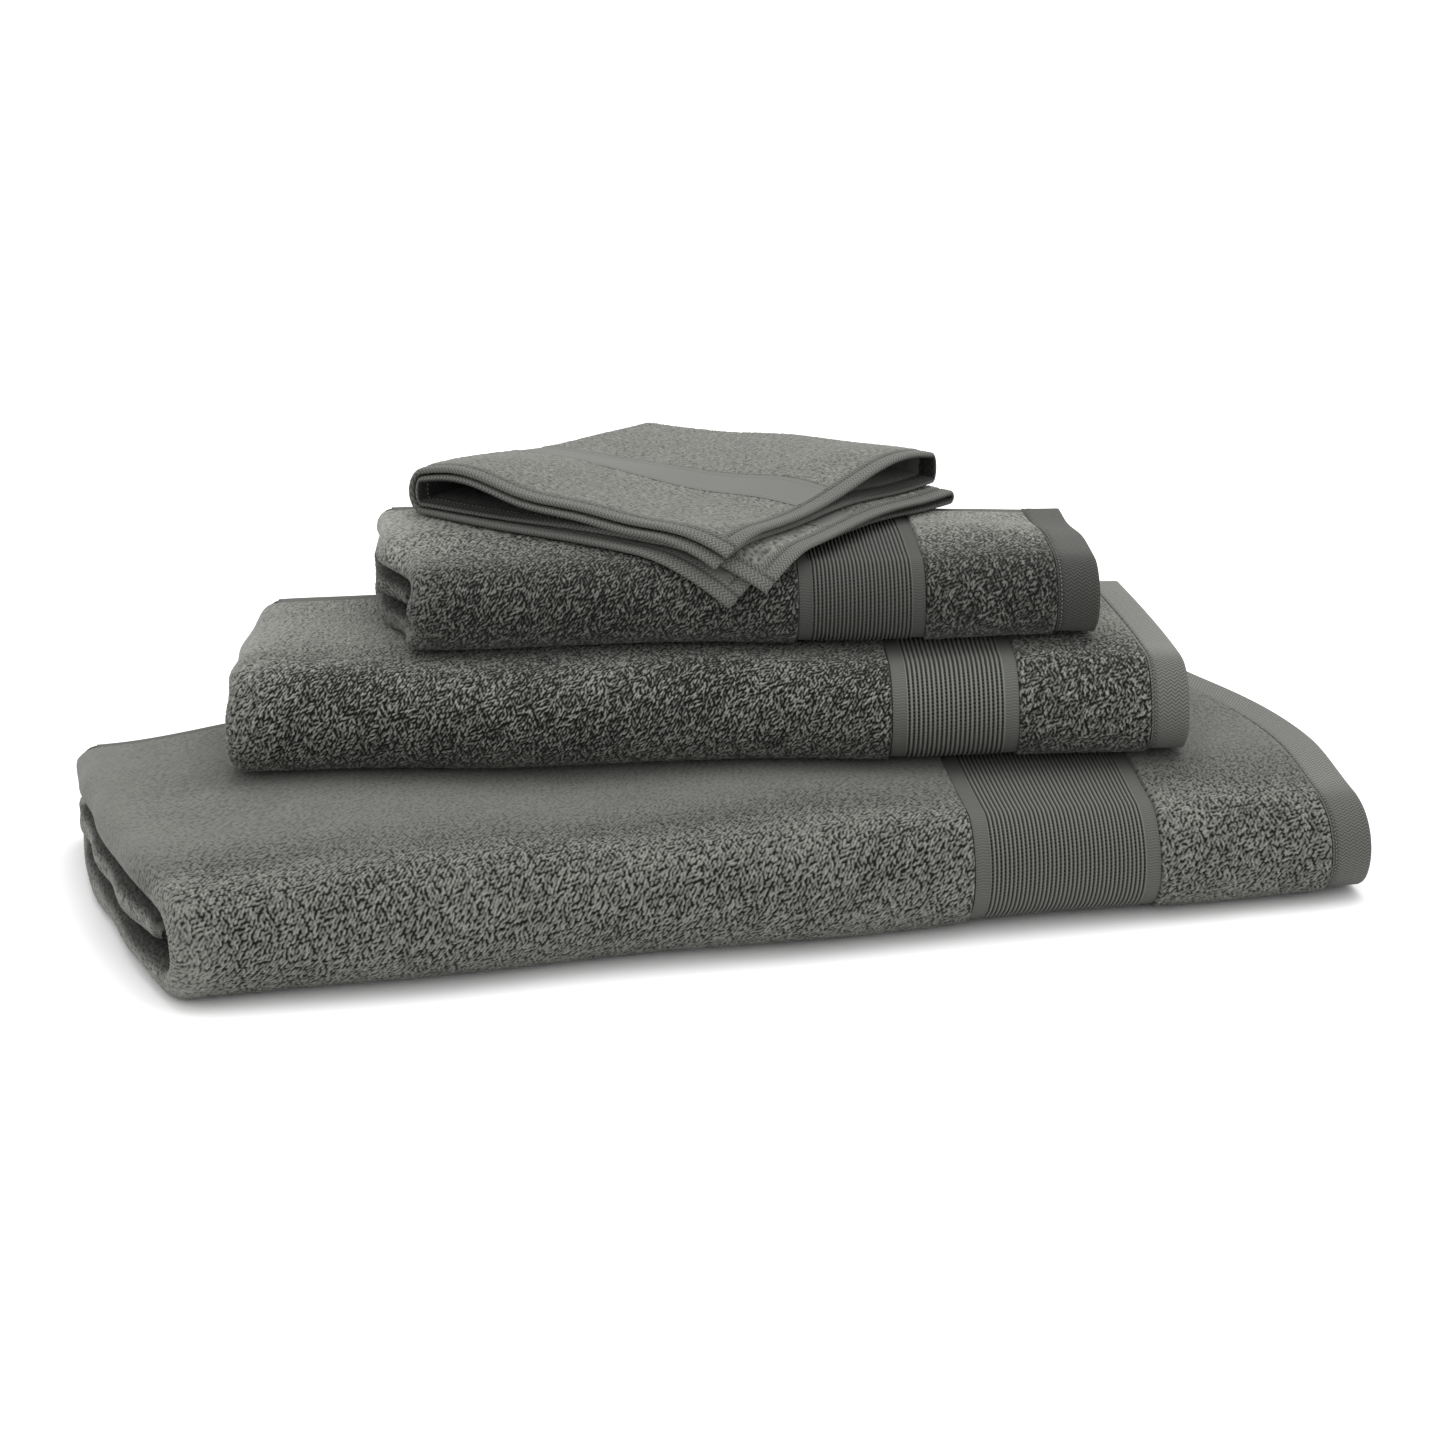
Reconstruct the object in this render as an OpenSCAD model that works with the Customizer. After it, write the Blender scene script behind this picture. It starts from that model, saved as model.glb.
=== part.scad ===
// A stack of four folded terry towels: bath sheet, bath towel, hand towel and washcloth.
// Each large towel is doubled end to end, then folded in thirds, so its section in the
// Y-Z plane is a spiral of three doubled panels: top, front wrap, bottom, back turn, middle.
// The bath sheet's hems are at +X, its end fold at -X and its round front wrap at -Y.

/* [Bath sheet] */
// Folded length along X
sheet_l = 750; // [600:5:900]
// Folded depth along Y
sheet_d = 340; // [280:5:400]
// Folded height of the three panels
sheet_h = 74; // [50:0.2:80]
// Width of the ribbed border
sheet_border = 120; // [60:1:140]
// Distance from the border to the end hem
sheet_end = 113; // [60:1:140]
// Width of the end hem
sheet_hem = 26; // [14:1:32]

/* [Bath towel] */
// Folded length
bath_l = 604; // [500:4:640]
// Folded depth
bath_d = 188; // [180:4:220]
// Folded height
bath_h = 66.8; // [50:0.2:80]
// Width of the ribbed border
bath_border = 80; // [50:1:120]
// Distance from the border to the end hem
bath_end = 84; // [50:1:120]
// Width of the end hem
bath_hem = 24; // [14:1:32]
// Place on the bath sheet, along X and Y
bath_at = [-2, 52];
// Turn on the bath sheet, in degrees
bath_turn = -10.5; // [-12:0.5:12]

/* [Hand towel] */
// Folded length
hand_l = 436; // [380:4:480]
// Folded depth
hand_d = 158; // [150:4:180]
// Folded height
hand_h = 56; // [45:1:70]
// Width of the ribbed border
hand_border = 80; // [40:1:100]
// Distance from the border to the end hem
hand_end = 84; // [40:1:100]
// Width of the end hem
hand_hem = 27; // [14:1:32]
// Place on the bath towel, along its length and depth
hand_at = [31, 22];

/* [Washcloth] */
// Side of the quarter-folded square
cloth_s = 232; // [160:2:240]
// Thickness of one of the four plies
cloth_ply = 5.2; // [3:0.1:7]
// Width of the hems on the open edges
cloth_hem = 11; // [6:1:16]
// Start and end of the plain band, as shares of the side
cloth_band = [0.42, 0.58];
// Place of the square's centre on the hand towel, along its length and depth
cloth_at = [-46, 66];
// Turn of the square's front corner away from the hand towel's front, in degrees
cloth_turn = 6.5; // [-15:0.5:15]

/* [Cloth] */
// Gap between folded panels, between plies and between stacked towels
gap = 0.4; // [0.3:0.1:1]
// Width of the side hems along both selvedges
side_hem = 13; // [8:1:20]
// How much lower the pile-free weaves lie than the terry loops
pile_step = 2.4; // [1:0.1:3]
// Width and height of a row of hem stitching
stitch = 0.9; // [0.5:0.1:1.5]
// Free edge of the middle panel, short of the front wrap
tuck = 4; // [0:1:20]

/* [Hidden] */
$fn = 96;

// Each large towel as [length, depth, height, border, end, hem]
SHEET = [sheet_l, sheet_d, sheet_h, sheet_border, sheet_end, sheet_hem];
BATH = [bath_l, bath_d, bath_h, bath_border, bath_end, bath_hem];
HAND = [hand_l, hand_d, hand_h, hand_border, hand_end, hand_hem];

// Sizes of a folded towel k
function half(k) = (k[2] - 2 * gap) / 6;
function pitch(k) = 2 * half(k) + gap;
function front_y(k) = -k[1] / 2 + k[2] / 2;
function back_y(k) = k[1] / 2 - pitch(k) / 2 - half(k);
function hem_x(k) = k[0] / 2 - k[5];
function end_x(k) = hem_x(k) - k[4];
function border_x(k) = end_x(k) - k[3];

// Hairline between neighbouring pieces of one cloth
seam = 0.05;

// ---- the folded section, in Y and Z, of cloth between offsets n0 and n1 of the fold line ----

module half_ring(r0, r1, side) {
    intersection() {
        difference() {
            circle(r1);
            circle(r0);
        }
        translate([side > 0 ? 0 : -2 * r1, -2 * r1])
            square([2 * r1, 4 * r1]);
    }
}

module panels(k, n0, n1) {
    top = half(k) + 2 * pitch(k);
    translate([front_y(k), top + n0])
        square([k[1] / 2 - side_hem - front_y(k), n1 - n0]);
    translate([front_y(k), half(k) - n1])
        square([back_y(k) - front_y(k), n1 - n0]);
    translate([front_y(k) + tuck + side_hem, half(k) + pitch(k) + n0])
        square([back_y(k) - front_y(k) - tuck - side_hem, n1 - n0]);
}

module wrap(k, n0, n1) {
    panels(k, n0, n1);
    translate([front_y(k), k[2] / 2])
        half_ring(pitch(k) + n0, pitch(k) + n1, -1);
    translate([back_y(k), half(k) + pitch(k) / 2])
        half_ring(pitch(k) / 2 + n0, pitch(k) / 2 + n1, 1);
}

module selvedges(k, n0, n1) {
    top = half(k) + 2 * pitch(k);
    translate([k[1] / 2 - side_hem + seam, top + n0])
        square([side_hem - seam, n1 - n0]);
    translate([front_y(k) + tuck, half(k) + pitch(k) + n0])
        square([side_hem - seam, n1 - n0]);
}

module along_x(x0, x1) {
    translate([x0, 0, 0])
        rotate([90, 0, 90])
            linear_extrude(x1 - x0)
                children();
}

// ---- the doubled cloth's end fold at -X ----

module fold_roll(y0, y1, z, r) {
    translate([0, y0, z])
        rotate([-90, 0, 0])
            cylinder(r = r, h = y1 - y0);
}

module fold_bend(y, z, bend, r, side) {
    translate([0, y, z])
        mirror([0, side > 0 ? 0 : 1, 0])
            rotate([0, -90, 0])
                rotate_extrude(angle = 180)
                    translate([bend, 0])
                        circle(r);
}

module end_fold(k) {
    r = half(k);
    translate([-k[0] / 2 + r, 0, 0]) {
        fold_roll(front_y(k), k[1] / 2 - side_hem, r + 2 * pitch(k), r);
        fold_roll(front_y(k), back_y(k), r, r);
        fold_roll(front_y(k) + tuck + side_hem, back_y(k), r + pitch(k), r);
        fold_bend(front_y(k), k[2] / 2, pitch(k), r, -1);
        fold_bend(back_y(k), r + pitch(k) / 2, pitch(k) / 2, r, 1);
    }
}

// ---- the pieces of one large towel ----

module terry(k) {
    color("#5a5b57") {
        along_x(-k[0] / 2 + half(k), border_x(k))
            wrap(k, -half(k), half(k));
        end_fold(k);
    }
}

// A stretch of one ply, from x0 to x1; the outer ply faces out, the inner ply faces in
module ply(k, x0, x1, outer, step) {
    n0 = outer ? gap / 2 : -half(k) + step;
    n1 = outer ? half(k) - step : -gap / 2;
    along_x(x0, x1)
        wrap(k, n0, n1);
}

module border(k, outer) {
    color("#515250")
        ply(k, border_x(k) + gap / 2, end_x(k) - gap / 2, outer, pile_step);
}

module end_terry(k, outer) {
    color("#5e5f5b")
        ply(k, end_x(k), hem_x(k) - gap / 2, outer, 0);
}

module end_hem(k, outer) {
    color("#656661")
        ply(k, hem_x(k), k[0] / 2, outer, pile_step);
}

module side_hems(k) {
    x0 = -k[0] / 2 + half(k);
    color("#656661") {
        along_x(x0, k[0] / 2)
            selvedges(k, gap / 2, half(k) - pile_step);
        along_x(x0, k[0] / 2)
            selvedges(k, -half(k) + pile_step, -gap / 2);
    }
}

// Thread rows: one round the spiral on each end hem, and one along the top side hem
module stitching(k) {
    n = half(k) - pile_step + seam;
    x = hem_x(k) + 2 * stitch;
    color("#777873") {
        along_x(x, x + stitch)
            wrap(k, n, n + stitch);
        along_x(x, x + stitch)
            wrap(k, -n - stitch, -n);
        along_x(-k[0] / 2 + 2 * half(k), hem_x(k))
            translate([k[1] / 2 - side_hem + 2 * stitch, half(k) + 2 * pitch(k) + n])
                square(stitch);
    }
}

// ---- the washcloth, in the hand towel's own frame ----

// The four plies are counted up from the hand towel: 0 and 1 join, and 2 and 3 join, at the
// back-right folds; 1 and 2 join inside 0 and 3 at the back-left fold.
ply_pitch = cloth_ply + gap;
base_z = hand_h + gap;
hem_q = cloth_s - cloth_hem;
band_q0 = cloth_band[0] * cloth_s;
band_q1 = cloth_band[1] * cloth_s;
hem_step = 0.6;

// The front corner follows the hand towel's round front from this line on
bend_y = front_y(HAND);
bend_z = hand_h / 2;
corner = cloth_s / sqrt(2);
tip_x = cloth_at[0] + corner * sin(cloth_turn);
tip_reach = bend_y - cloth_at[1] + corner * cos(cloth_turn);

// The square's back corner is its local origin; p runs to the right corner, q to the left one
module square_frame() {
    translate([cloth_at[0], cloth_at[1], base_z])
        rotate([0, 0, cloth_turn - 45])
            translate([-cloth_s / 2, cloth_s / 2, 0])
                mirror([0, 1, 0])
                    children();
}

module behind_bend() {
    intersection() {
        children();
        translate([-2 * cloth_s, bend_y, 0])
            cube([4 * cloth_s, 4 * cloth_s, 2 * hand_h]);
    }
}

// One flat ply over p0..p1 and q0..q1, thinner by step on both faces
module flat_ply(i, p0, p1, q0, q1, step) {
    translate([p0, q0, i * ply_pitch + step])
        cube([p1 - p0, q1 - q0, cloth_ply - 2 * step]);
}

module half_tube(z, r0, r1, length) {
    translate([0, 0, z])
        rotate([-90, 0, 0])
            linear_extrude(length)
                half_ring(r0, r1, -1);
}

// The two loops at the back-left fold over q0..q1, outer plies 0 and 3 round plies 1 and 2
module left_folds(q0, q1, step) {
    z = 2 * ply_pitch - gap / 2;
    translate([0, q0, 0]) {
        half_tube(z, gap / 2 + step, gap / 2 + cloth_ply - step, q1 - q0);
        half_tube(z, gap / 2 + ply_pitch + step, gap / 2 + ply_pitch + cloth_ply - step, q1 - q0);
    }
}

// The two loops at the back-right fold over p0..p1, each joining a pair of plies
module right_folds(p0, p1, step) {
    for (pair = [0, 1])
        translate([p0, 0, 0])
            mirror([1, -1, 0])
                half_tube((2 * pair + 1) * ply_pitch - gap / 2, gap / 2 + step,
                    gap / 2 + cloth_ply - step, p1 - p0);
}

// A point of the drooping corner: x across it, u along the bend from its start line, at
// radius r from the bend's axis, where m is the radius at which u is measured
function bent(x, u, r, m) =
    let (turn = min(90, u / m * 180 / PI))
    [x, bend_y - r * sin(turn), bend_z + r * cos(turn) - max(0, u - m * PI / 2)];

// Edges of the corner at u, and of the same corner with cut millimetres off both open edges
function reach(cut) = tip_reach - cut * sqrt(2) * cos(cloth_turn);
function left_x(u, cut) = tip_x - cut * sqrt(2) * sin(cloth_turn) - (reach(cut) - u) * tan(45 + cloth_turn);
function right_x(u, cut) = tip_x - cut * sqrt(2) * sin(cloth_turn) + (reach(cut) - u) * tan(45 - cloth_turn);
function middle_x(u) = tip_x - (tip_reach - u) * tan(cloth_turn);

// Closed bent strip through rows of [u, x0, x1], from radius r0 to r1
module bent_strip(rows, r0, r1) {
    m = (r0 + r1) / 2;
    last = len(rows) - 1;
    points = [for (w = rows) each [bent(w[1], w[0], r0, m), bent(w[2], w[0], r0, m),
                                   bent(w[2], w[0], r1, m), bent(w[1], w[0], r1, m)]];
    sides = [for (j = [0 : last - 1]) for (c = [0 : 3])
        let (a = 4 * j + c, b = 4 * j + (c + 1) % 4)
        each [[a, b, b + 4], [a, b + 4, a + 4]]];
    ends = [[0, 3, 2], [0, 2, 1], [4 * last, 4 * last + 1, 4 * last + 2],
            [4 * last, 4 * last + 2, 4 * last + 3]];
    polyhedron(points, concat(sides, ends));
}

corner_rows = 12;
// Width left at the very tip of the corner
blunt = 0.6;

module corner_terry(i) {
    r = bend_z + gap + i * ply_pitch;
    rows = [for (j = [0 : corner_rows])
        let (u = seam + (reach(cloth_hem) - blunt - seam) * j / corner_rows)
        [u, left_x(u, cloth_hem) + gap, right_x(u, cloth_hem) - gap]];
    bent_strip(rows, r, r + cloth_ply);
}

module corner_hems(i) {
    r = bend_z + gap + i * ply_pitch + hem_step;
    rows = [for (j = [0 : corner_rows]) seam + (tip_reach - blunt - seam) * j / corner_rows];
    inner_left = function(u) u < reach(cloth_hem) ? left_x(u, cloth_hem) : middle_x(u) - seam;
    inner_right = function(u) u < reach(cloth_hem) ? right_x(u, cloth_hem) : middle_x(u) + seam;
    bent_strip([for (u = rows) [u, left_x(u, 0), inner_left(u)]], r, r + cloth_ply - 2 * hem_step);
    bent_strip([for (u = rows) [u, inner_right(u), right_x(u, 0)]], r, r + cloth_ply - 2 * hem_step);
}

module washcloth_terry() {
    color("#6a6b67") {
        behind_bend()
            square_frame()
                for (i = [0 : 3]) {
                    flat_ply(i, 0, hem_q, 0, band_q0, 0);
                    flat_ply(i, 0, hem_q, band_q1, hem_q, 0);
                }
        square_frame() {
            left_folds(0, band_q0, 0);
            left_folds(band_q1, hem_q, 0);
            right_folds(0, hem_q, 0);
        }
    }
}

// The stretch of terry and hem that droops over the hand towel's front, four plies each
module washcloth_corner_terry() {
    color("#6a6b67")
        for (i = [0 : 3])
            corner_terry(i);
}

module washcloth_corner_hems() {
    color("#656661")
        for (i = [0 : 3])
            corner_hems(i);
}

module washcloth_plain_band() {
    color("#5c5d59") {
        behind_bend()
            square_frame()
                for (i = [0 : 3])
                    flat_ply(i, 0, hem_q, band_q0, band_q1, hem_step);
        square_frame()
            left_folds(band_q0, band_q1, hem_step);
    }
}

module washcloth_hems() {
    color("#656661") {
        behind_bend()
            square_frame()
                for (i = [0 : 3]) {
                    flat_ply(i, 0, cloth_s, hem_q, cloth_s, hem_step);
                    flat_ply(i, hem_q, cloth_s, 0, cloth_s, hem_step);
                }
        square_frame() {
            left_folds(hem_q, cloth_s, hem_step);
            right_folds(hem_q, cloth_s, hem_step);
        }
    }
}

module washcloth_stitching() {
    z = 4 * ply_pitch - gap - hem_step;
    color("#777873")
        behind_bend()
            square_frame() {
                translate([0, hem_q + stitch, z])
                    cube([hem_q, stitch, stitch]);
                translate([hem_q + stitch, 0, z])
                    cube([stitch, hem_q, stitch]);
            }
}

// ---- places in the stack ----

module on_bath_sheet() {
    translate([bath_at[0], bath_at[1], sheet_h + gap])
        rotate([0, 0, bath_turn])
            children();
}

module on_bath_towel() {
    on_bath_sheet()
        translate([hand_at[0], hand_at[1], bath_h + gap])
            children();
}

terry(SHEET);  // bath_sheet_terry
border(SHEET, true);  // bath_sheet_outer_border
border(SHEET, false);  // bath_sheet_inner_border
end_terry(SHEET, true);  // bath_sheet_outer_end_terry
end_terry(SHEET, false);  // bath_sheet_inner_end_terry
end_hem(SHEET, true);  // bath_sheet_outer_end_hem
end_hem(SHEET, false);  // bath_sheet_inner_end_hem
side_hems(SHEET);  // bath_sheet_side_hems
stitching(SHEET);  // bath_sheet_stitching
on_bath_sheet() terry(BATH);  // bath_towel_terry
on_bath_sheet() border(BATH, true);  // bath_towel_outer_border
on_bath_sheet() border(BATH, false);  // bath_towel_inner_border
on_bath_sheet() end_terry(BATH, true);  // bath_towel_outer_end_terry
on_bath_sheet() end_terry(BATH, false);  // bath_towel_inner_end_terry
on_bath_sheet() end_hem(BATH, true);  // bath_towel_outer_end_hem
on_bath_sheet() end_hem(BATH, false);  // bath_towel_inner_end_hem
on_bath_sheet() side_hems(BATH);  // bath_towel_side_hems
on_bath_sheet() stitching(BATH);  // bath_towel_stitching
on_bath_towel() terry(HAND);  // hand_towel_terry
on_bath_towel() border(HAND, true);  // hand_towel_outer_border
on_bath_towel() border(HAND, false);  // hand_towel_inner_border
on_bath_towel() end_terry(HAND, true);  // hand_towel_outer_end_terry
on_bath_towel() end_terry(HAND, false);  // hand_towel_inner_end_terry
on_bath_towel() end_hem(HAND, true);  // hand_towel_outer_end_hem
on_bath_towel() end_hem(HAND, false);  // hand_towel_inner_end_hem
on_bath_towel() side_hems(HAND);  // hand_towel_side_hems
on_bath_towel() stitching(HAND);  // hand_towel_stitching
on_bath_towel() washcloth_terry();
on_bath_towel() washcloth_plain_band();
on_bath_towel() washcloth_hems();
on_bath_towel() washcloth_corner_terry();
on_bath_towel() washcloth_corner_hems();
on_bath_towel() washcloth_stitching();
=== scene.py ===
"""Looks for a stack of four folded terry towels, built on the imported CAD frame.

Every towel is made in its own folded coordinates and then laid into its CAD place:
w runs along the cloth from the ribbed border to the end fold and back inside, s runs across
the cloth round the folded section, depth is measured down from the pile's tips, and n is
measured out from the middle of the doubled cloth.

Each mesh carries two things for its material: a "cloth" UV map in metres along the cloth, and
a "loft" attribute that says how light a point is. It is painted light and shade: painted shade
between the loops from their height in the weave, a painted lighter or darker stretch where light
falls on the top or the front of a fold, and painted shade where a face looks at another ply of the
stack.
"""
import math
from collections import namedtuple

import bpy
import numpy as np
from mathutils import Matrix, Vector


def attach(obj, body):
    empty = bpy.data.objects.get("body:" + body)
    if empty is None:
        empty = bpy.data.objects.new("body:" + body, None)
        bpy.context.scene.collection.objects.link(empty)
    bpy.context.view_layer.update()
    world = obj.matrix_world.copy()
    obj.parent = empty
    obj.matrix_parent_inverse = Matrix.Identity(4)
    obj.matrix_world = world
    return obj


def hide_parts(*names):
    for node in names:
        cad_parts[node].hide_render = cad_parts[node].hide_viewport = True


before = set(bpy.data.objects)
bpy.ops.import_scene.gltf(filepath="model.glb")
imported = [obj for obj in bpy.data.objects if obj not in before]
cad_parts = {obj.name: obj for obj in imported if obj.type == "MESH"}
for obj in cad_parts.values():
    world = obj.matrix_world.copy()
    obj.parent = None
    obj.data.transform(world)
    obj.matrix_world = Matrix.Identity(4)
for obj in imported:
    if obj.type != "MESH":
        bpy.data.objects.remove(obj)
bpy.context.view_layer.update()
PI = math.pi

# Sizes shared with the CAD, in metres and degrees
GAP = 0.0004
PILE_STEP = 0.0024
SIDE_HEM = 0.013
TUCK = 0.004
STACK_TURN = -10.5
CLOTH_TURN = 6.5
CLOTH_HEM = 0.011
CLOTH_SKIN = 0.0006
CLOTH_BAND = (0.42, 0.58)

# Weaves: the twill's ribs and stripes, the holes between cords, the rungs on the plain bands
TWILL = 0.0026
TWILL_STRIPE = 0.0024
HOLE_STEP = 0.0026
LADDER_STEP = 0.0021

# Terry loops: the spacing of the samples in a loop image, and how deep the gaps between go
LOOP_STEP = 0.0005
PIT = 0.0013
# One loop's spacing, half length and radius, as shares of the loops' pitch
LOOP_ALONG = 1.05
LOOP_ACROSS = 0.57
LOOP_HALF_LONG = (0.55, 0.70)
LOOP_RADIUS = (0.27, 0.32)
# Lowest tip of a loop, and how far its rim lies under its tip
LOOP_LOWEST = 0.72
LOOP_RIM = 0.68
# Width over which the pile drops to the weave beside it
PILE_EDGE = 0.0015
PILE_END = 0.0012

# How far in from the edge a strip starts that is sewn under the side hems
UNDER_HEM = SIDE_HEM - 0.0016
# How far the tops are seen behind their middle, before the next towel covers them
SEEN_TO = 0.02
# Mesh steps of what is seen well, seen a little, and hidden
FINE, MEDIUM, COARSE = 0.0007, 0.0014, 0.006
CORD_FINE, CORD_PARTS = 0.00062, 8
CLOTH_FINE, CLOTH_ROUGH = 0.0009, 0.0017
# Mesh steps of the back of a strip, and of the tight turn of a fold
BACK_FINE = 0.004
FOLD_FINE = 0.0012

# Stitches: spacing, length and radius, and how far a seam lies in from its hem's edge
STITCH_STEP = 0.0032
STITCH_LONG = 0.0011
STITCH_RADIUS = 0.00045
SEAM_IN = 0.0022
CLOTH_STITCH_STEP = 0.0030
CLOTH_STITCH_LONG = 0.0010
CLOTH_STITCH_RADIUS = 0.00042
CLOTH_SEAM_IN = 0.0016

# ---------------------------------------------------------------- small helpers


def smooth(x, low, high):
    """0 below low, 1 above high, smooth between."""
    t = np.clip((x - low) / (high - low), 0.0, 1.0)
    return t * t * (3.0 - 2.0 * t)


def swell(x, y, seed, size):
    """Slow waves of about that size, from -1 to 1, the same on every run."""
    rng = np.random.default_rng(seed)
    total = np.zeros(np.broadcast(x, y).shape)
    for _ in range(5):
        angle, phase = rng.uniform(0, 2 * PI, 2)
        k = 2 * PI / (size * rng.uniform(0.7, 1.5))
        total = total + np.sin(k * (x * math.cos(angle) + y * math.sin(angle)) + phase)
    return total / 3.0


def turned(x, y, degrees):
    """x, y turned about the origin."""
    c, s = math.cos(math.radians(degrees)), math.sin(math.radians(degrees))
    return c * x - s * y, s * x + c * y


def graded(breaks, steps):
    """Positions from breaks[0] to breaks[-1], about steps[i] apart in stretch i."""
    parts = [
        np.linspace(a, b, max(2, int(round((b - a) / d)) + 1))[:-1]
        for a, b, d in zip(breaks[:-1], breaks[1:], steps)
    ]
    return np.concatenate(parts + [[breaks[-1]]])


def sampled(image, a, b):
    """The image's values at a and b metres along its axes, between its pixels."""
    i = np.clip(a / LOOP_STEP, 0, image.shape[0] - 1.001)
    j = np.clip(b / LOOP_STEP, 0, image.shape[1] - 1.001)
    i0, j0 = i.astype(int), j.astype(int)
    fi, fj = i - i0, j - j0
    near = image[i0, j0] * (1 - fj) + image[i0, j0 + 1] * fj
    far = image[i0 + 1, j0] * (1 - fj) + image[i0 + 1, j0 + 1] * fj
    return near * (1 - fi) + far * fi


def loops(long_m, wide_m, pitch, lean, seed):
    """Heights from 0 to 1 of terry loops: bent grains in leaning rows, combed in patches."""
    rng = np.random.default_rng(seed)
    image = np.zeros((int(long_m / LOOP_STEP) + 6, int(wide_m / LOOP_STEP) + 6))
    along, across = LOOP_ALONG * pitch, LOOP_ACROSS * pitch
    size = math.hypot(long_m, wide_m)
    u, v = np.meshgrid(np.arange(-size, size, along), np.arange(-size, size, across), indexing="ij")
    u = u + 0.5 * along * (np.arange(u.shape[1]) % 2)
    u = (u + rng.uniform(-0.24, 0.24, u.shape) * along).ravel()
    v = (v + rng.uniform(-0.24, 0.24, v.shape) * across).ravel()
    a, b = turned(u, v, lean)
    inside = (a > 0) & (a < long_m) & (b > 0) & (b < wide_m)
    a, b = a[inside], b[inside]
    count = len(a)
    patches = 0.34 * swell(a, b, seed, 0.016)
    heading = math.radians(lean) + patches + rng.normal(0, 0.24, count)
    cos_h, sin_h = np.cos(heading), np.sin(heading)
    half_long = pitch * rng.uniform(*LOOP_HALF_LONG, count)
    radius = pitch * rng.uniform(*LOOP_RADIUS, count)
    bend = pitch * rng.normal(0, 0.14, count)
    peak = rng.uniform(LOOP_LOWEST, 1.0, count)
    i0, j0 = (a / LOOP_STEP).astype(int), (b / LOOP_STEP).astype(int)
    reach = int(math.ceil(0.85 * pitch / LOOP_STEP))
    for di in range(-reach, reach + 1):
        for dj in range(-reach, reach + 1):
            i, j = i0 + di, j0 + dj
            da, db = i * LOOP_STEP - a, j * LOOP_STEP - b
            u = (da * cos_h + db * sin_h) / half_long
            v = db * cos_h - da * sin_h - bend * (u * u - 0.4)
            over = np.maximum(np.abs(u) * half_long - (half_long - radius), 0)
            away = (over**2 + v**2) / radius**2
            round_top = np.clip(1 - away, 0, 1) ** 0.9 * (1 + 0.2 * u)
            height = peak - LOOP_RIM * (1 - round_top)
            ok = (away < 1) & (height > 0) & (i >= 0) & (j >= 0)
            ok = ok & (i < image.shape[0]) & (j < image.shape[1])
            np.maximum.at(image, (i[ok], j[ok]), height[ok])
    return np.minimum(image, 1.0)


# ---------------------------------------------------------------- meshes


def quads(rows, columns, start, flip):
    """Faces of a grid of rows x columns points, the first of which is number start."""
    at = start + np.arange(rows * columns).reshape(rows, columns)
    a, b, c, d = at[:-1, :-1], at[:-1, 1:], at[1:, 1:], at[1:, :-1]
    order = (a, d, c, b) if flip else (a, b, c, d)
    return np.stack(order, -1).reshape(-1, 4)


def add_mesh(name, points, faces, loft, cloth_uv):
    mesh = bpy.data.meshes.new(name)
    points = np.asarray(points, np.float32)
    faces = np.asarray(faces, np.int32)
    mesh.vertices.add(len(points))
    mesh.vertices.foreach_set("co", points.ravel())
    mesh.loops.add(faces.size)
    mesh.loops.foreach_set("vertex_index", faces.ravel())
    mesh.polygons.add(len(faces))
    mesh.polygons.foreach_set("loop_start", np.arange(0, faces.size, 4, dtype=np.int32))
    mesh.update(calc_edges=True)
    mesh.polygons.foreach_set("use_smooth", np.ones(len(faces), bool))
    attribute = mesh.attributes.new("loft", "FLOAT", "POINT")
    attribute.data.foreach_set("value", np.asarray(loft, np.float32).ravel())
    layer = mesh.uv_layers.new(name="cloth")
    layer.data.foreach_set("uv", np.asarray(cloth_uv, np.float32)[faces.ravel()].ravel())
    mesh.validate()
    obj = bpy.data.objects.new(name, mesh)
    bpy.context.scene.collection.objects.link(obj)
    return obj


def grid_uv(a, b):
    a, b = np.broadcast_arrays(a, b)
    return np.stack([a, b], -1)


# Loft of a slab's lower face, and of the faces inside a doubled cloth
BACK_LOFT = 0.42
INNER_LOFT = 0.5


class Build:
    """Collects grids into one mesh."""

    def __init__(self):
        self.points, self.faces = [], []
        self.loft, self.uv = [], []
        self.count = 0

    def grid(self, xyz, loft, uv, flip=False):
        rows, columns = xyz.shape[:2]
        self.points.append(xyz.reshape(-1, 3))
        self.faces.append(quads(rows, columns, self.count, flip))
        self.loft.append(np.broadcast_to(loft, (rows, columns)).reshape(-1))
        self.uv.append(uv.reshape(-1, 2))
        self.count += rows * columns

    def slab(self, top, bottom, loft_top, uv):
        """A closed slab between two grids of the same shape, with its four side walls."""
        rows, columns = top.shape[:2]
        start = self.count
        self.grid(top, loft_top, uv)
        self.grid(bottom, BACK_LOFT, uv, flip=True)
        a = start + np.arange(rows * columns).reshape(rows, columns)
        b = a + rows * columns
        for edge, flip in ((0, True), (-1, False)):
            self._wall(a[edge, :], b[edge, :], flip)
            self._wall(a[:, edge], b[:, edge], not flip)
        return self

    def _wall(self, upper, lower, flip):
        four = (upper[:-1], lower[:-1], lower[1:], upper[1:])
        if flip:
            four = four[::-1]
        self.faces.append(np.stack(four, -1))

    def made(self, name):
        return add_mesh(
            name,
            np.concatenate(self.points),
            np.concatenate(self.faces),
            np.concatenate(self.loft),
            np.concatenate(self.uv),
        )


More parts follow.
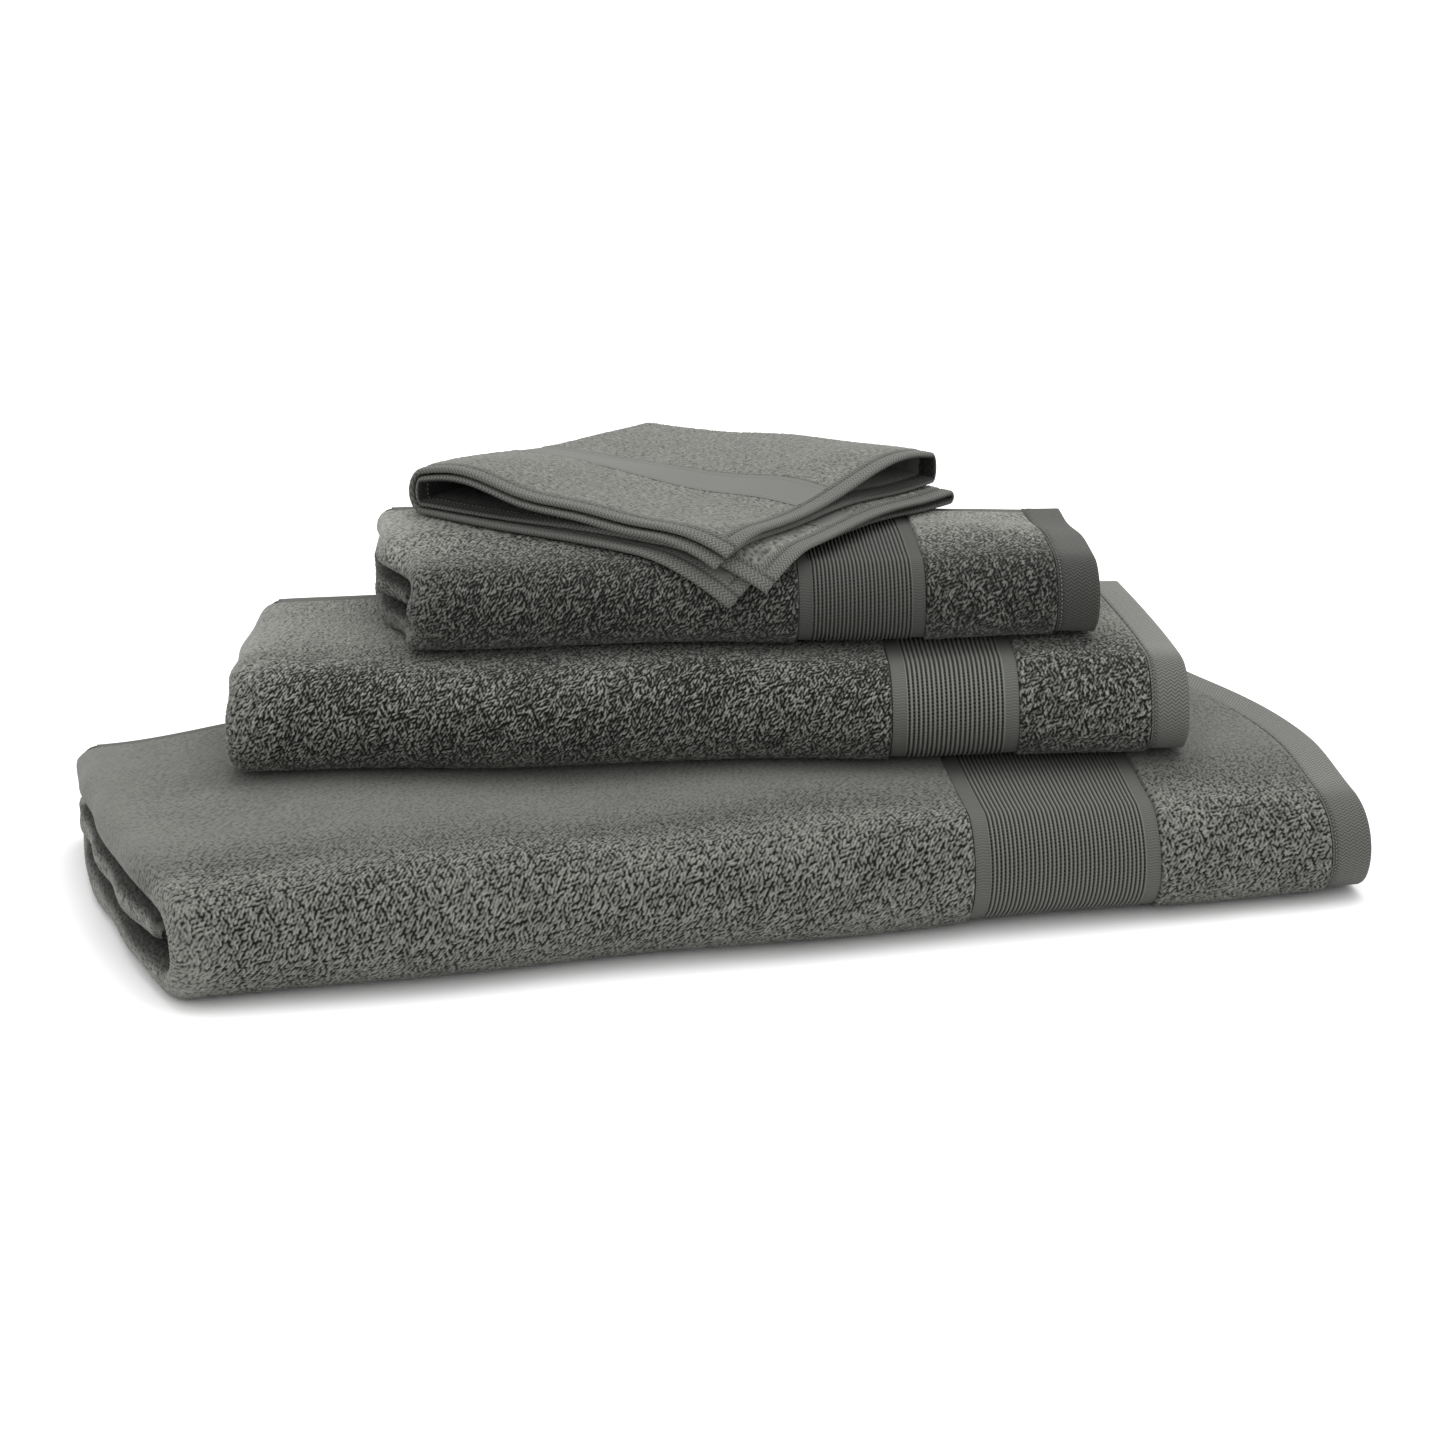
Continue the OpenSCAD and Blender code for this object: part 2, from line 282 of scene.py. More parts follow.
def turned_points(node, degrees):
    """A CAD node's corners, turned about the row frame's origin."""
    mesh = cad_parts[node].data
    co = np.zeros(len(mesh.vertices) * 3)
    mesh.vertices.foreach_get("co", co)
    co = co.reshape(-1, 3)
    x, y = turned(co[:, 0], co[:, 1], degrees)
    return np.stack([x, y, co[:, 2]], 1)


# ---------------------------------------------------------------- a folded towel


# Painted light and shade of the loops on top of a fold and on its front, of the ribs, and of the
# end hem: each towel lighter or darker as light falls on it
PaintedLight = namedtuple("PaintedLight", "top front woven hem")
# How deep the gaps between loops are, and how dark their painted shade, on top of a fold and on its
# front
Contrast = namedtuple("Contrast", "top front")


class Towel:
    """One towel doubled end to end and folded in thirds, in its own axes.

    joins are the arc lengths where the folded section changes: the top ply's edge, the front
    roll's top and foot, the back turn's foot and top, and the middle ply's edge.
    open_above is how far back from the front roll, on top, the loops begin to stand open.
    """

    def __init__(self, name, turn, shape, tones, open_above, contrast):
        self.name, self.turn, self.shape = name, turn, shape
        self.tones, self.open_above, self.contrast = tones, open_above, contrast
        low, high = self.own_box("terry")
        hem_low, hem_high = self.own_box("outer_end_hem")
        back_y = self.own_box("side_hems")[1][1]
        self.base = low[2]
        self.place = ((low[0] + hem_high[0]) / 2, (low[1] + back_y) / 2)
        self.length = hem_high[0] - low[0]
        self.depth = back_y - low[1]
        self.height = high[2] - low[2]
        self.hem_x = hem_low[0] - self.place[0]
        self.end_x = self.own_box("outer_end_terry")[0][0] - self.place[0]
        self.border_x = high[0] - self.place[0]
        self.half = (self.height - 2 * GAP) / 6
        self.pitch = 2 * self.half + GAP
        self.front = -self.depth / 2 + self.height / 2
        self.back = self.depth / 2 - self.pitch / 2 - self.half
        self.roll_x = -self.length / 2 + self.half
        outer = (
            self.depth / 2 - self.front,
            PI * (self.pitch + self.half),
            self.back - self.front,
            PI * (self.pitch / 2 + self.half),
            self.back - self.front - TUCK,
        )
        self.joins = np.concatenate([[0.0], np.cumsum(outer)])

    def own_box(self, part):
        """The box of a CAD node in the towel's own axes, still about the row frame's origin."""
        own = turned_points(f"{self.name}_{part}", -self.turn)
        return own.min(0), own.max(0)

    def tone(self, s):
        """Painted light and shade of the loops: the top of the fold and its front lighter or darker
        as light falls on them.
        """
        front = smooth(s, self.joins[1] - 0.030, self.joins[1] + 0.010)
        return self.tones.top + (self.tones.front - self.tones.top) * front

    def width(self):
        """Flat width of the cloth, along the fold line of the doubled plies."""
        return float(
            self.joins[1] + PI * self.pitch + 2 * (self.back - self.front) - TUCK
            + PI * self.pitch / 2
        )

    def section(self, s, n):
        """The folded section: (y, z) at arc length s of the outer face and offset n."""
        s, n = np.broadcast_arrays(np.asarray(s, float), np.asarray(n, float))
        j, h, p = self.joins, self.half, self.pitch
        wrap = PI / 2 + (s - j[1]) / (p + h)
        bend = -PI / 2 + (s - j[3]) / (p / 2 + h)
        y = np.select(
            [s <= j[1], s <= j[2], s <= j[3], s <= j[4]],
            [
                self.depth / 2 - s,
                self.front + (p + n) * np.cos(wrap),
                self.front + (s - j[2]),
                self.back + (p / 2 + n) * np.cos(bend),
            ],
            self.back - (s - j[4]),
        )
        z = np.select(
            [s <= j[1], s <= j[2], s <= j[3], s <= j[4]],
            [
                h + 2 * p + n,
                self.height / 2 + (p + n) * np.sin(wrap),
                h - n,
                h + p / 2 + (p / 2 + n) * np.sin(bend),
            ],
            h + p + n,
        )
        return y, z

    def at(self, x, s, n):
        """A point of the soft towel, in the row frame."""
        x, s, n = np.broadcast_arrays(np.asarray(x, float), s, n)
        y, z = self.section(s, n)
        x, y, z = self.shape(self, x, y, z)
        wx, wy = turned(x + self.place[0], y + self.place[1], self.turn)
        wz = z + self.base
        return np.stack([wx, wy, wz], -1)

    def hairpin(self, w, depth, s):
        """(x, n) at length w from the border along the outer ply, round the end fold and back.

        Near the end fold the plies draw apart where they face each other inside the stack.
        """
        run = self.border_x - self.roll_x
        angle = np.clip((w - run) / self.half, 0, PI)
        r = self.half - depth
        x = np.where(w < run, self.border_x - w, self.roll_x - r * np.sin(angle))
        x = np.where(w > run + PI * self.half, self.roll_x + (w - run - PI * self.half), x)
        return x, r * np.cos(angle) * (1 - 0.30 * self.facing(w, s))

    def facing(self, w, s):
        """1 on the end fold's faces that look at another ply of the stack, 0 on open faces. It
        draws the plies apart, and paints shade on those faces.
        """
        run = self.border_x - self.roll_x
        near = smooth(w, run - 0.040, run + 0.005) * (1 - smooth(w, run + 0.060, run + 0.100))
        side = np.cos(np.clip((w - run) / self.half, 0, PI))
        middle_ply = smooth(s, self.joins[3], self.joins[4]) * smooth(np.abs(side), 0.1, 0.9)
        return near * np.maximum(smooth(-side, 0.1, 0.9), middle_ply)


# The shapes below are sculpted: their numbers are metres in the towel's own axes,
# but for sheet_drop, bath_drop and hand_drop, whose x and y are the row frame's.


def sheet_drop(x, y):
    """How far the bath sheet's top lies under its CAD height at x, y of the row frame."""
    right = smooth(x, 0.14, 0.36)
    left = smooth(-x, 0.24, 0.37)
    front = smooth(-y, 0.06, 0.15)
    rear = smooth(y, 0.04, 0.16)
    slope = 0.010 * right * front + 0.012 * left * rear + 0.0035 * left * front
    return slope - 0.0016 * swell(x, y, 3, 0.17)


def bath_drop(x, y):
    """The same for the bath towel's top, which follows the bath sheet under it."""
    own_x, own_y = turned(x, y, -STACK_TURN)
    ends = smooth(np.abs(own_x - BATH.place[0]), 0.24, 0.30)
    return sheet_drop(x, y) + 0.0010 * ends - 0.0012 * swell(own_x, own_y, 13, 0.14)


def hand_drop(x, y):
    """The same for the hand towel's top, which sags towards its right rear corner."""
    own_x, own_y = turned(x, y, -STACK_TURN)
    sag = smooth(own_y - HAND.place[1], -0.025, 0.060) * smooth(own_x - HAND.place[0], 0.02, 0.15)
    return bath_drop(x, y) + 0.0080 * sag - 0.0010 * swell(own_x, own_y, 23, 0.12)


def settled(t, x, y, z, under, over):
    """z lowered by what lies under the towel, and by its own waves towards its top."""
    wx, wy = turned(x + t.place[0], y + t.place[1], t.turn)
    low = under(wx, wy)
    return z - low - (over(wx, wy) - low) * np.clip(z / t.height, 0, 1)


def flat_floor(x, y):
    return np.zeros(np.broadcast(x, y).shape)


def sheet_shape(t, x, y, z):
    """The bath sheet: rounded right end, fanned left end, soft top."""
    up = z / t.height
    across = np.clip((y + t.depth / 2) / t.depth, 0, 1)
    recede = np.maximum((y + 0.064) / 0.148, 0)
    recede = recede / (1 + (recede / 1.15) ** 8) ** 0.125
    x0, y0 = x, y
    x = x - 0.034 * recede**2 * smooth(x0, 0.2, 0.37)
    x = x + 0.13 * (y0 + 0.165) * smooth(x0, 0.02, 0.12) * (1 - smooth(x0, 0.2, 0.33)) * up
    left = smooth(-x0, 0.1, t.length / 2)
    bow = 1 - ((across - 0.62) / 0.62) ** 2
    x = x - 0.026 * bow * left * smooth(-x0, 0.25, 0.37)
    x = x + 0.0025 * swell(y0, z * 3, 5, 0.09) * left
    y = y - 0.016 * left * smooth(across, 0.5, 1.0)
    y = y + 0.0025 * swell(x0, z * 2, 4, 0.2) * (1 - across)
    return x, y, settled(t, x, y, z, flat_floor, sheet_drop)


def bath_shape(t, x, y, z):
    """The bath towel: both ends lean in towards the back."""
    up = z / t.height
    across = np.clip((y + t.depth / 2) / t.depth, 0, 1)
    x0 = x
    lean = 0.020 * across**1.6
    x = x - np.sign(x0) * lean * smooth(np.abs(x0), 0.16, t.length / 2) * (0.45 + 0.55 * up)
    x = x + 0.0018 * swell(y, z * 3, 15, 0.08) * smooth(-x0, 0.2, 0.3)
    y = y + 0.0020 * swell(x0, z * 2, 14, 0.16) * (1 - across)
    return x, y, settled(t, x, y, z, sheet_drop, bath_drop)


def hand_front(x, z):
    """How far the hand towel's front waves in and out."""
    return 0.0018 * swell(x, z * 2, 24, 0.13)


def hand_shape(t, x, y, z):
    """The hand towel: its left end slants out towards the back, and its front waves."""
    across = np.clip((y + t.depth / 2) / t.depth, 0, 1)
    x0 = x
    left = smooth(-x0, 0.12, t.length / 2)
    x = x - 0.020 * left * smooth(across, 0.18, 0.6)
    x = x - 0.006 * smooth(x0, 0.12, t.length / 2) * across
    x = x + 0.0020 * swell(y, z * 3, 25, 0.07) * left
    y = y + hand_front(x0, z) * (1 - across)
    return x, y, settled(t, x, y, z, bath_drop, hand_drop)


# Each towel's painted light and shade of its top, front, ribs and end hem, lighter or darker as
# light falls on it
SHEET = Towel(
    "bath_sheet", 0.0, sheet_shape, PaintedLight(0.555, 0.79, 0.88, 0.88),
    open_above=0.080, contrast=Contrast(0.38, 1.26),
)
BATH = Towel(
    "bath_towel", STACK_TURN, bath_shape, PaintedLight(0.79, 0.97, 1.0, 1.08),
    open_above=0.060, contrast=Contrast(0.74, 1.95),
)
HAND = Towel(
    "hand_towel", STACK_TURN, hand_shape, PaintedLight(0.90, 0.72, 0.58, 0.42),
    open_above=0.100, contrast=Contrast(0.80, 1.95),
)

# ---------------------------------------------------------------- materials


def material(name, build):
    """A material whose nodes build(node_tree, shader) makes."""
    mat = bpy.data.materials.new(name)
    mat.use_nodes = True
    nt = mat.node_tree
    nt.nodes.clear()
    out = nt.nodes.new("ShaderNodeOutputMaterial")
    shader = nt.nodes.new("ShaderNodeBsdfPrincipled")
    nt.links.new(shader.outputs[0], out.inputs[0])
    build(nt, shader)
    return mat


def value_map(nt, value, low, high):
    """value from 0 to 1 becomes low to high, and past them beyond 0 and 1."""
    node = nt.nodes.new("ShaderNodeMapRange")
    nt.links.new(value, node.inputs[0])
    node.clamp = False
    node.inputs[3].default_value = low
    node.inputs[4].default_value = high
    return node.outputs[0]


def maths(nt, operation, a, b):
    node = nt.nodes.new("ShaderNodeMath")
    node.operation = operation
    for socket, value in zip(node.inputs, (a, b)):
        if isinstance(value, (int, float)):
            socket.default_value = value
        else:
            nt.links.new(value, socket)
    return node.outputs[0]


def cloth_coordinates(nt):
    """Metres along and across the cloth."""
    uv = nt.nodes.new("ShaderNodeUVMap")
    uv.uv_map = "cloth"
    return uv.outputs[0]


def noise(nt, where, scale, detail=2.0, rough=0.5):
    node = nt.nodes.new("ShaderNodeTexNoise")
    nt.links.new(where, node.inputs[0])
    node.inputs["Scale"].default_value = scale
    node.inputs["Detail"].default_value = detail
    node.inputs["Roughness"].default_value = rough
    return node.outputs[0]


def bump(nt, shader, height, strength, distance):
    node = nt.nodes.new("ShaderNodeBump")
    node.inputs["Strength"].default_value = strength
    node.inputs["Distance"].default_value = distance
    nt.links.new(height, node.inputs["Height"])
    nt.links.new(node.outputs[0], shader.inputs["Normal"])


def tinted(nt, shader, shade, colour):
    """Base colour: colour scaled by shade."""
    node = nt.nodes.new("ShaderNodeMix")
    node.data_type = "RGBA"
    node.blend_type = "MULTIPLY"
    node.inputs[0].default_value = 1.0
    node.inputs[6].default_value = (*colour, 1)
    nt.links.new(shade, node.inputs[7])
    nt.links.new(node.outputs[2], shader.inputs["Base Color"])


def loft_of(nt):
    node = nt.nodes.new("ShaderNodeAttribute")
    node.attribute_name = "loft"
    return node.outputs["Fac"]


def cloth_finish(shader, sheen):
    shader.inputs["Roughness"].default_value = 0.92
    shader.inputs["Specular IOR Level"].default_value = 0.18
    shader.inputs["Sheen Weight"].default_value = sheen
    shader.inputs["Sheen Roughness"].default_value = 0.55
    shader.inputs["Sheen Tint"].default_value = (0.62, 0.63, 0.60, 1)


# Base colours before their shade
TERRY = (0.262, 0.265, 0.241)
WOVEN = (0.135, 0.138, 0.126)
BAND = (0.144, 0.147, 0.137)
HEM = (0.120, 0.122, 0.112)
THREAD = (0.145, 0.147, 0.137)


def terry(nt, shader):
    """Loop pile: painted shade between the loops from the loft attribute, with fine fibres and slow
    patches.
    """
    cloth_finish(shader, 0.18)
    where = cloth_coordinates(nt)
    pits = value_map(nt, maths(nt, "POWER", loft_of(nt), 1.5), 0.006, 1.26)
    fibres = noise(nt, where, 1300.0, 3.0, 0.7)
    patches = noise(nt, where, 38.0, 2.0)
    shade = maths(nt, "MULTIPLY", pits, value_map(nt, patches, 0.86, 1.14))
    shade = maths(nt, "MULTIPLY", shade, value_map(nt, fibres, 0.84, 1.16))
    tinted(nt, shader, shade, TERRY)
    bump(nt, shader, fibres, 0.5, 0.0006)


def woven(colour):
    """A flat weave of that colour, with painted shade in its gaps from the loft attribute."""

    def build(nt, shader):
        cloth_finish(shader, 0.12)
        where = cloth_coordinates(nt)
        pits = value_map(nt, loft_of(nt), 0.008, 1.10)
        yarn = noise(nt, where, 1800.0, 2.0, 0.6)
        shade = maths(nt, "MULTIPLY", pits, value_map(nt, yarn, 0.82, 1.18))
        tinted(nt, shader, shade, colour)
        bump(nt, shader, yarn, 0.3, 0.0003)

    return build


def twill(nt, shader):
    """Herringbone: fine diagonal ribs that turn back at each stripe across the hem."""
    cloth_finish(shader, 0.14)
    where = cloth_coordinates(nt)
    parts = nt.nodes.new("ShaderNodeSeparateXYZ")
    nt.links.new(where, parts.inputs[0])
    zigzag = maths(nt, "PINGPONG", parts.outputs[0], TWILL_STRIPE)
    diagonal = maths(nt, "ADD", parts.outputs[1], zigzag)
    ribs = maths(nt, "SINE", maths(nt, "MULTIPLY", diagonal, 2 * PI / TWILL), 0.0)
    half_ribs = maths(nt, "MULTIPLY", ribs, 0.5)
    lit = value_map(nt, maths(nt, "ADD", half_ribs, 0.5), 0.52, 1.20)
    yarn = noise(nt, where, 1700.0, 2.0)
    shade = maths(nt, "MULTIPLY", lit, value_map(nt, yarn, 0.84, 1.16))
    # The loft attribute brings the hems' painted light and shade: lighter on top, darker at the
    # seam's pinch and inside the open fold.
    shade = maths(nt, "MULTIPLY", shade, loft_of(nt))
    tinted(nt, shader, shade, HEM)
    bump(nt, shader, ribs, 0.5, 0.0004)


def thread(nt, shader):
    """Sewing thread, a little lighter and darker from stitch to stitch."""
    cloth_finish(shader, 0.1)
    where = cloth_coordinates(nt)
    tinted(nt, shader, value_map(nt, noise(nt, where, 900.0), 0.75, 1.2), THREAD)


M_TERRY = material("terry pile", terry)
M_WOVEN = material("ribbed weave", woven(WOVEN))
M_BAND = material("plain weave", woven(BAND))
M_HEM = material("herringbone hem", twill)
M_THREAD = material("sewing thread", thread)


def finish_piece(obj, mat, body, slot, *nodes):
    """Gives a piece its material and body, and hides the CAD nodes it stands for."""
    obj.data.materials.append(mat)
    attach(obj, body)
    if nodes:
        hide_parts(*nodes)
    return obj


# ---------------------------------------------------------------- pieces of a large towel


def outer_rows(t, fine, hidden=COARSE, inset=0.0):
    """Arc lengths across the outer face, fine on the seen part of the top and on the front."""
    j = t.joins
    start = max(inset, min(t.depth / 2 - SEEN_TO, j[1]))
    breaks = [inset, start, j[2], j[3], j[4], j[5] - inset]
    return graded(breaks, [MEDIUM, fine, hidden, MEDIUM * 1.5, hidden])


def core(t):
    """The whole cloth as one closed folded sheet, under the pile."""
    turn_len = PI * t.half
    run = t.border_x - t.roll_x
    inset, sunk = 0.0015, PILE_STEP + 0.0012
    reach = t.length / 2 - t.border_x - inset
    ends = [-reach, run, run + turn_len, 2 * run + turn_len + reach]
    w = graded(ends, [COARSE, BACK_FINE, COARSE])[:, None]
    j = t.joins
    turns = [inset, j[1], j[2], j[3], j[4], j[5] - inset]
    s = graded(turns, [COARSE, 0.003, COARSE, 0.003, COARSE])[None, :]
    x, n = t.hairpin(w, sunk, s)
    top = t.at(x, s, n)
    x, n = t.hairpin(w, t.half - GAP / 2, s)
    bottom = t.at(x, s, n)
    build = Build()
    build.slab(top, bottom, INNER_LOFT, grid_uv(w, s))
    return build.made(f"{t.name}_cloth")


def tufted(t, image, w, s, calm):
    """Height of the loops at w, s: open on the front, brushed flat on the top and where calm."""
    front = smooth(s, t.joins[1] - t.open_above, t.joins[1] + 0.020)
    patches = 1 + 0.12 * swell(w, s, 91, 0.07)
    strength = t.contrast.top + (t.contrast.front - t.contrast.top) * front
    strength = strength * (1 - 0.35 * calm) * patches
    return np.maximum(1 - strength * (1 - sampled(image, w, s)), 0)


def pile(t, image):
    """The loops' surface: the long flat stretch, then the end fold and a little way back inside."""
    build = Build()
    run = t.border_x - t.roll_x
    end = run + PI * t.half
    stretches = (
        (0.0, run - 0.012, FINE, COARSE),
        (run - 0.012, end + 0.020, FINE * 1.3, MEDIUM),
    )
    for w0, w1, step, hidden in stretches:
        w = graded([w0, w1], [step])[:, None]
        s = outer_rows(t, FINE, hidden)[None, :]
        height = tufted(t, image, w, s, smooth(w, run - 0.030, run + 0.010))
        edge = smooth(w, 0.0, PILE_END) * smooth(s, SIDE_HEM, SIDE_HEM + PILE_EDGE)
        edge = edge * (1 - smooth(s, t.joins[5] - SIDE_HEM - PILE_EDGE, t.joins[5] - SIDE_HEM))
        depth = PIT * (1 - height) * edge + (1 - edge) * (PILE_STEP + 0.0016)
        x, n = t.hairpin(w, depth, s)
        # Painted shade: darker in the gaps between loops, where the pile drops to the weave at its
        # edges, and on faces that look at another ply; with the painted light and shade of top and
        # front
        loft = height * (0.55 + 0.45 * edge) * t.tone(s) * (1 - 0.6 * t.facing(w, s))
        build.grid(t.at(x, s, n), loft, grid_uv(w, s))
    return build.made(f"{t.name}_pile")


def ply_strip(build, t, x0, x1, step_x, s, outer, height):
    """A stretch of one ply from x0 to x1; height(x, s) gives (offset, loft) of its pile face."""
    x = np.linspace(x0, x1, max(2, int(round((x1 - x0) / step_x)) + 1))[:, None]
    offset, loft = height(x, s)
    side = 1.0 if outer else -1.0
    top = t.at(x, s, side * (t.half + offset))
    bottom = t.at(x, s, np.full(np.broadcast(x, s).shape, side * GAP / 2))
    if outer:
        build.slab(top, bottom, loft, grid_uv(x, s))
    else:
        build.slab(bottom, top, INNER_LOFT, grid_uv(x, s))


def round_edges(x, x0, x1, r):
    """Lowers the two edges of a strip as a rounded border would."""
    near = np.minimum(x - x0, x1 - x)
    return np.where(near < r, r - np.sqrt(np.maximum(r * r - (r - near) ** 2, 0)), 0.0)


def border(t, rib, band):
    """The ribbed border: cords across the towel with open gaps, between two plain bands."""
    x0, x1 = t.border_x + GAP / 2, t.end_x - GAP / 2
    count = round((x1 - x0 - 2 * band) / rib)
    rib = (x1 - x0 - 2 * band) / count

    def height(x, s):
        into = x - x0 - band
        far = x1 - x0 - 2 * band
        phase = into / rib
        cord = np.abs(np.cos(PI * phase))
        inside = smooth(into, -0.0002, 0.0004) * (1 - smooth(into, far, far + 0.0004))
        gaps = 1 - smooth(cord, 0.52, 0.95)
        foot = smooth(s, t.joins[2] - 0.035, t.joins[2])
        row = np.floor(phase)
        holes = 0.5 + 0.5 * np.cos(2 * PI * s / HOLE_STEP + 0.9 * row + 0.5 * np.sin(2.4 * row))
        holes = smooth(holes, 0.15, 0.85) * (1 - foot) + 0.7 * foot
        ribs = -0.0011 * (1 - np.sqrt(1 - 0.98 * (1 - cord) ** 2))
        ribs = ribs - 0.0014 * gaps * (0.3 + 0.7 * holes)
        ladder = np.cos(2 * PI * s / LADDER_STEP + 1.2 * np.sin(2 * PI * x / 0.007))
        tucked = smooth(np.minimum(s, t.joins[5] - s), UNDER_HEM, SIDE_HEM)
        offset = -PILE_STEP + inside * (0.0006 + ribs) + (1 - inside) * 0.00014 * ladder
        offset = offset - 0.0012 * (1 - tucked)
        # Painted shade: dark in the gaps and holes between the cords
        loft = inside * (1.24 - gaps * (0.90 + 0.34 * holes))
        loft = loft + (1 - inside) * (0.60 + 0.16 * ladder)
        return offset, np.clip(loft, 0, 1) * t.tones.woven

    def plain(x, s):
        return np.full(np.broadcast(x, s).shape, -PILE_STEP), 0.8

    build = Build()
    s = outer_rows(t, CORD_FINE, inset=UNDER_HEM)[None, :]
    ply_strip(build, t, x0, x1, rib / CORD_PARTS, s, True, height)
    rough = outer_rows(t, BACK_FINE, inset=UNDER_HEM)[None, ::2]
    ply_strip(build, t, x0, x1, 0.01, rough, False, plain)
    return build.made(f"{t.name}_border")


def end_pile(t, image):
    """The strip of pile between the border and the end hem, on both plies."""
    build = Build()
    x0, x1 = t.end_x, t.hem_x - GAP / 2

    def height(x, s):
        tall = tufted(t, image, x1 - x, s, 0.0)
        edge = smooth(x, x0, x0 + PILE_END) * (1 - smooth(x, x1 - PILE_END, x1))
        edge = edge * smooth(s, SIDE_HEM, SIDE_HEM + PILE_EDGE)
        edge = edge * smooth(t.joins[5] - s, SIDE_HEM, SIDE_HEM + PILE_EDGE)
        offset = -edge * PIT * (1 - tall) - (1 - edge) * (PILE_STEP + 0.0008)
        # Painted shade between the loops and where the pile drops at its edges, with the painted
        # light and shade of top and front
        return offset, tall * (0.55 + 0.45 * edge) * t.tone(s)

    def plain(x, s):
        return np.full(np.broadcast(x, s).shape, -PILE_STEP), 0.7

    s = outer_rows(t, FINE, inset=UNDER_HEM)[None, :]
    ply_strip(build, t, x0, x1, FINE, s, True, height)
    rough = outer_rows(t, BACK_FINE, inset=UNDER_HEM)[None, ::2]
    ply_strip(build, t, x0, x1, COARSE, rough, False, plain)
    return build.made(f"{t.name}_end_pile")


def end_hem(t):
    """The turned end hem on both plies, pinched and puckered along its seam."""
    build = Build()
    x0, x1 = t.hem_x, t.length / 2
    seam_x = x0 + SEAM_IN

    def height(x, s):
        offset = -PILE_STEP - round_edges(x, x0 - 0.004, x1, 0.0026)
        pinch = np.exp(-(((x - seam_x) / 0.0011) ** 2))
        pucker = 0.0002 * np.cos(2 * PI * s / 0.0042) * np.exp(-(((x - seam_x) / 0.004) ** 2))
        # Painted light: the hem lighter on top of the fold. Painted shade: darker in the pinch
        # along the seam.
        on_top = 1 - smooth(s, t.joins[1] - 0.02, t.joins[1] + 0.015)
        lit = t.tones.hem * (1 + 0.6 * on_top)
        return offset - 0.0005 * pinch + pucker, (0.9 - 0.35 * pinch) * lit

    step = 0.0011
    ply_strip(build, t, x0, x1, step, outer_rows(t, step)[None, :], True, height)
    ply_strip(build, t, x0, x1, 0.0016, outer_rows(t, BACK_FINE)[None, :], False, height)
    return build.made(f"{t.name}_hem")


def selvedge(t):
    """The side hems along both long edges, on both plies."""
    build = Build()
    ends = ((0.0, SIDE_HEM), (t.joins[5] - SIDE_HEM, t.joins[5]))
    for s0, s1 in ends:
        s = np.linspace(s0, s1, 9)[None, :]

        def height(x, s_, s0=s0, s1=s1):
            offset = -PILE_STEP - round_edges(s_, s0, s1, 0.0022) + 0 * x
            return offset, 0.85 + 0 * (x + s_)

        for outer in (True, False):
            ply_strip(build, t, t.roll_x, t.hem_x - GAP / 2, BACK_FINE, s, outer, height)
    return build.made(f"{t.name}_selvedge")


def stitches(name, centres, ends, normals, radius):
    """Short raised stitches: small pointed beads about their centres, with tips at ends."""
    sides = 5
    stations = ((-1.0, 0.12), (-0.6, 0.8), (0.0, 1.0), (0.6, 0.8), (1.0, 0.12))
    along = ends - centres
    unit = along / np.linalg.norm(along, axis=1)[:, None]
    across = np.cross(normals, unit)
    points = []
    for place, size in stations:
        for k in range(sides):
            angle = 2 * PI * k / sides
            ring = across * math.cos(angle) + normals * math.sin(angle)
            points.append(centres + along * place + ring * radius * size)
    points = np.stack(points, 1)
    count, per = points.shape[:2]
    one = []
    for i in range(len(stations) - 1):
        for k in range(sides):
            a, b = i * sides + k, i * sides + (k + 1) % sides
            one.append((a, a + sides, b + sides, b))
    faces = (np.array(one)[None] + per * np.arange(count)[:, None, None]).reshape(-1, 4)
    uv = np.zeros((count * per, 2))
    uv[:, 0] = np.repeat(np.arange(count) * 0.004, per)
    return add_mesh(name, points.reshape(-1, 3), faces, np.full(count * per, 0.8), uv)


def beads(rows, name, radius):
    """Stitches from (start, finish, outward point) rows of places, just clear of the cloth."""
    start, finish, outward = (np.concatenate(part) for part in zip(*rows))
    out = outward - start
    out /= np.linalg.norm(out, axis=1)[:, None]
    return stitches(name, start + out * 0.0001, finish + out * 0.0001, out, radius)


def towel_thread(t):
    """Stitch rows round both end hems and along the top side hem."""
    level = t.half - PILE_STEP
    seam_x = t.hem_x + SEAM_IN
    s = np.arange(0.004, t.joins[5] - 0.004, STITCH_STEP)
    rows = []
    for side in (1, -1):
        n = np.full(len(s), side * level)
        x = np.full(len(s), seam_x)
        rows.append((t.at(x, s, n), t.at(x, s + STITCH_LONG, n), t.at(x, s, n + side * 0.001)))
    x = np.arange(t.roll_x + 0.004, t.hem_x - 0.002, STITCH_STEP)
    s = np.full(len(x), SIDE_HEM - SEAM_IN)
    n = np.full(len(x), level)
    rows.append((t.at(x, s, n), t.at(x + STITCH_LONG, s, n), t.at(x, s, n + 0.001)))
    return beads(rows, f"{t.name}_thread", STITCH_RADIUS)


